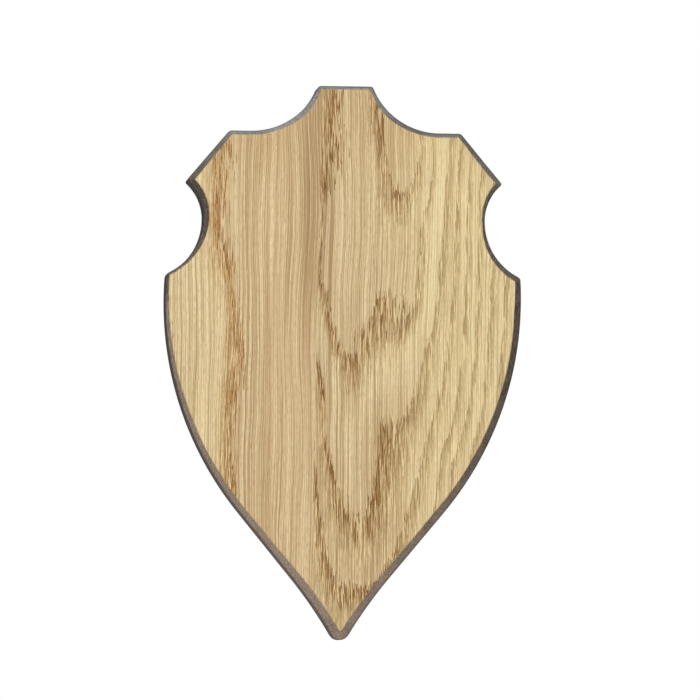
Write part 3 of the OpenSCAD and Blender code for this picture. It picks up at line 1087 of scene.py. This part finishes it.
paint([stave_left], oak_material("oak_left", 0.0, linear(253, 249, 244), linear(168, 112, 48)))
paint([stave_right], oak_material("oak_right", 5.0, linear(255, 253, 250), linear(130, 84, 32)))
paint([strap], metal_material("zinc_plate", (196, 193, 184), (168, 165, 158), 0.28, (0.1, 4, 4)))
paint([ring], metal_material("bright_wire", (206, 204, 198), (180, 178, 172), 0.2, (0.1, 0.1, 6)))
paint(screw, metal_material("zinc_screw", (198, 192, 176), (172, 164, 146), 0.26, (0.5, 0.1, 0.5)))
paint(felts, felt_material())


# ---- floor, light and camera

CENTRE = Vector((0, FRONT, (TOP + TIP) / 2))
VIEW_AZIMUTH, VIEW_ELEVATION, LEAN = -4.0, -2.5, 0.565
DISTANCE = 3000.0
SENSOR = 36.0
FRAME_WIDTH = 265.1  # what the picture spans at the board's front
OFF_CENTRE = (2.5, 4.8)  # the picture's middle from the board's middle
FLOOR_DROP = 110.0
FLOOR_HALF, FLOOR_EDGE = 600.0, 40.0  # half the floor's width, and the radius of its far edge


def make_floor():
    """A pale table well below the tip, with a rounded far edge."""
    z = TIP - FLOOR_DROP
    far, low = FLOOR_HALF - FLOOR_EDGE, z - FLOOR_EDGE
    rows = [(-FLOOR_HALF, z), (far, z)]
    for a in np.linspace(0.2, 1.57, 7):
        rows.append((far + FLOOR_EDGE * math.sin(a), low + FLOOR_EDGE * math.cos(a)))
    verts = [(x, y, height) for y, height in rows for x in (-FLOOR_HALF, FLOOR_HALF)]
    faces = [(2 * i, 2 * i + 1, 2 * i + 3, 2 * i + 2) for i in range(len(rows) - 1)]
    floor = new_object("floor", verts, faces)
    paint([floor], floor_material())


def make_light(name, place, size, power, colour):
    """A soft square lamp that faces the board's middle; place and size in mm."""
    data = bpy.data.lights.new(name, "AREA")
    data.shape = "SQUARE"
    data.size = size * MM
    data.energy = power
    data.color = colour
    lamp = add_object(name, data)
    lamp.location = (CENTRE + Vector(place)) * MM
    lamp.rotation_euler = (-Vector(place)).to_track_quat("-Z", "Y").to_euler()


def make_world(strength, shown):
    """Even pale light all round; the backdrop itself is shown white."""
    world = bpy.data.worlds.new("studio")
    bpy.context.scene.world = world
    world.use_nodes = True
    tree = world.node_tree
    background = tree.nodes["Background"]
    background.inputs["Color"].default_value = (1, 1, 1, 1)
    seen = tree.nodes.new("ShaderNodeLightPath").outputs["Is Camera Ray"]
    level = tree.nodes.new("ShaderNodeMix")
    level.inputs[2].default_value = strength
    level.inputs[3].default_value = shown
    tree.links.new(seen, level.inputs[0])
    tree.links.new(level.outputs[0], background.inputs["Strength"])


def make_camera():
    """The camera at the photo's viewing angle, far away and with a long lens."""
    data = bpy.data.cameras.new("camera")
    camera = add_object("camera", data)
    a, e = math.radians(VIEW_AZIMUTH), math.radians(VIEW_ELEVATION)
    back = Vector((math.sin(a) * math.cos(e), -math.cos(a) * math.cos(e), math.sin(e)))
    target = CENTRE + Vector((OFF_CENTRE[0], 0, OFF_CENTRE[1]))
    camera.location = (target + back * DISTANCE) * MM
    turn = back.to_track_quat("Z", "Y").to_matrix() @ Matrix.Rotation(math.radians(LEAN), 3, "Z")
    camera.rotation_euler = turn.to_euler()
    data.sensor_width = SENSOR
    data.lens = SENSOR * DISTANCE / FRAME_WIDTH
    data.clip_start, data.clip_end = 0.05, 20
    bpy.context.scene.camera = camera


make_floor()
make_world(0.2, 1.0)
make_light("key_top", (-100, -450, 950), 500, 10.0, (0.88, 0.97, 1.0))
make_light("fill_low", (-100, -450, -900), 500, 9.0, (1.0, 0.93, 0.84))
make_light("front", (-200, -1400, 100), 600, 5.5, (1.0, 0.985, 0.96))
make_light("back", (900, 1100, 350), 600, 18.0, (1, 1, 1))
make_camera()
bpy.context.scene.view_settings.view_transform = "Standard"
